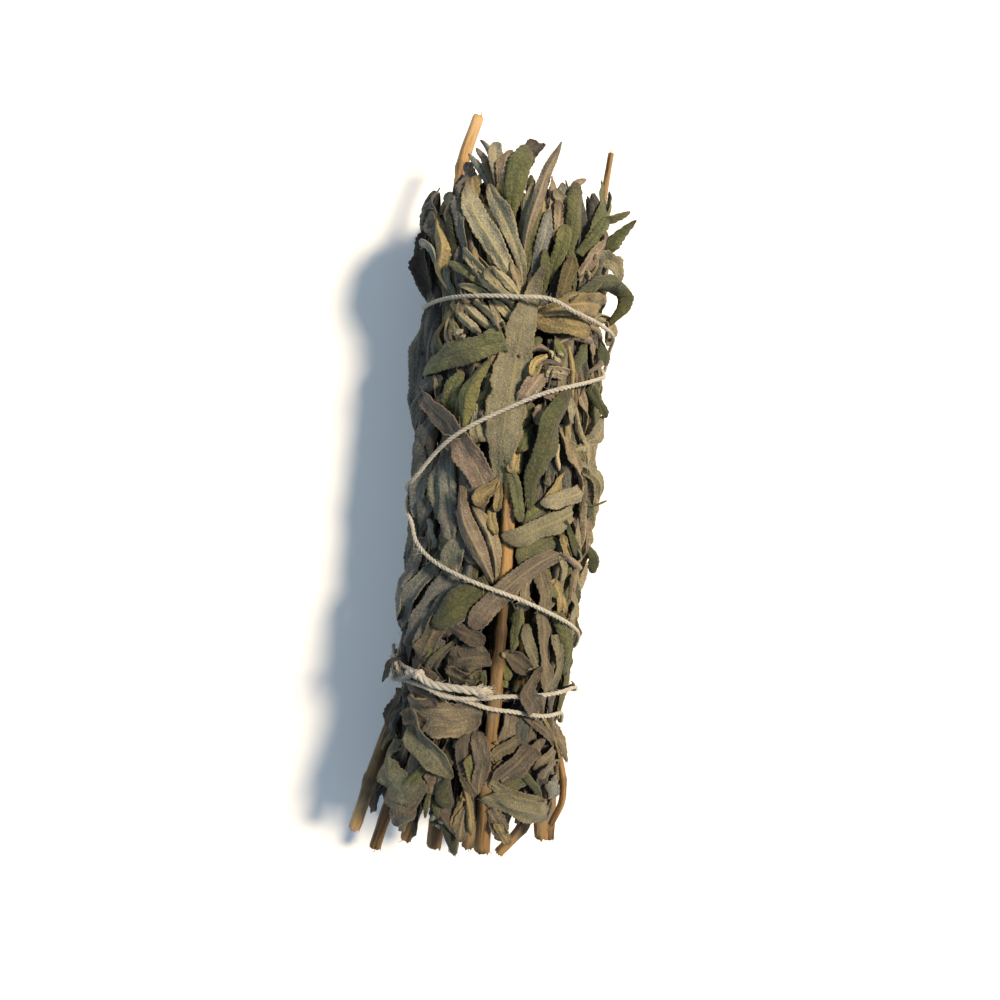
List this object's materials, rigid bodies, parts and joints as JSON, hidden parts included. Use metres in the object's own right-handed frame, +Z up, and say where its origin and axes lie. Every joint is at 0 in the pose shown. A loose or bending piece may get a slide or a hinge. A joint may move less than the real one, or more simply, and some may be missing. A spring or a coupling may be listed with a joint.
{
  "type": "sage bunch",
  "caption": "Hand-long bundle of dried sage sprigs with narrow grey-green leaves and cut woody stems, bound with criss-crossed cotton twine knotted near the cut ends.",
  "frame": {"origin": "under the middle of the bunch's bounding box, on the surface it lies on", "axes": "+Y along the bunch from the cut stem ends to the leaf tips, +Z up from the surface, +X to the right seen from above with the tips away"},
  "size_m": [0.046, 0.1512, 0.0337],
  "materials": {
    "stem": "matte",
    "leaf_pale": "matte",
    "leaf_green": "matte",
    "leaf_grey": "matte",
    "leaf_brown": "matte",
    "leaf_ochre": "matte",
    "twine": "matte"
  },
  "bodies": {
    "root": {"stem_main": "stem", "stem_left_splayed": "stem", "stem_left_low": "stem", "stem_left_inner": "stem", "stem_dark": "stem", "stem_pale_end": "stem", "stem_under_middle": "stem", "stem_slanted": "stem", "stem_right_pair_upper": "stem", "stem_right_pair_lower": "stem", "stem_bent_twig": "stem", "stem_tip_pale": "stem", "stem_tip_thin": "stem", "tuft_under_foot_left": "leaf_grey", "tuft_under_foot_right": "leaf_brown", "tuft_under_middle_left": "leaf_pale", "tuft_under_middle_right": "leaf_green", "tuft_under_upper_left": "leaf_grey", "tuft_under_upper_right": "leaf_brown", "tuft_under_tips_left": "leaf_pale", "tuft_under_tips_right": "leaf_green", "tuft_left_flank_foot": "leaf_grey", "tuft_left_flank": "leaf_grey", "tuft_right_flank_foot": "leaf_brown", "tuft_right_flank": "leaf_ochre", "tuft_right_shoulder": "leaf_green", "leaf_left_edge": "leaf_grey", "tuft_left_lower": "leaf_grey", "leaf_left_upper_dark": "leaf_grey", "leaf_folded_edge": "leaf_ochre", "leaf_tan_strip": "leaf_brown", "leaf_right_green": "leaf_green", "leaf_grey_green": "leaf_grey", "leaf_folded_brown": "leaf_brown", "leaf_dark_green": "leaf_green", "tuft_ochre_shoulder": "leaf_ochre", "leaf_wrinkled": "leaf_brown", "leaf_green_low": "leaf_green", "leaf_purple": "leaf_brown", "leaf_big_pale": "leaf_pale", "leaf_green_cross": "leaf_green", "leaf_pale_middle": "leaf_pale", "leaf_long_cross": "leaf_brown", "leaf_right_edge": "leaf_pale", "tuft_tips_fan": "leaf_pale", "leaf_top_green": "leaf_green", "leaf_top_pale": "leaf_pale", "tuft_top_narrow": "leaf_brown", "leaf_top_olive": "leaf_green", "tuft_top_right": "leaf_green", "leaf_hook": "leaf_green", "leaf_broad_low": "leaf_brown", "leaf_curved_low": "leaf_grey", "tuft_low_middle": "leaf_brown", "leaf_brown_low": "leaf_brown", "leaf_foot_right": "leaf_pale", "leaf_foot_left_cup": "leaf_grey", "twine_wrap": "twine", "twine_tail": "twine", "leaf_over_tie": "leaf_brown"}
  },
  "joints": []
}
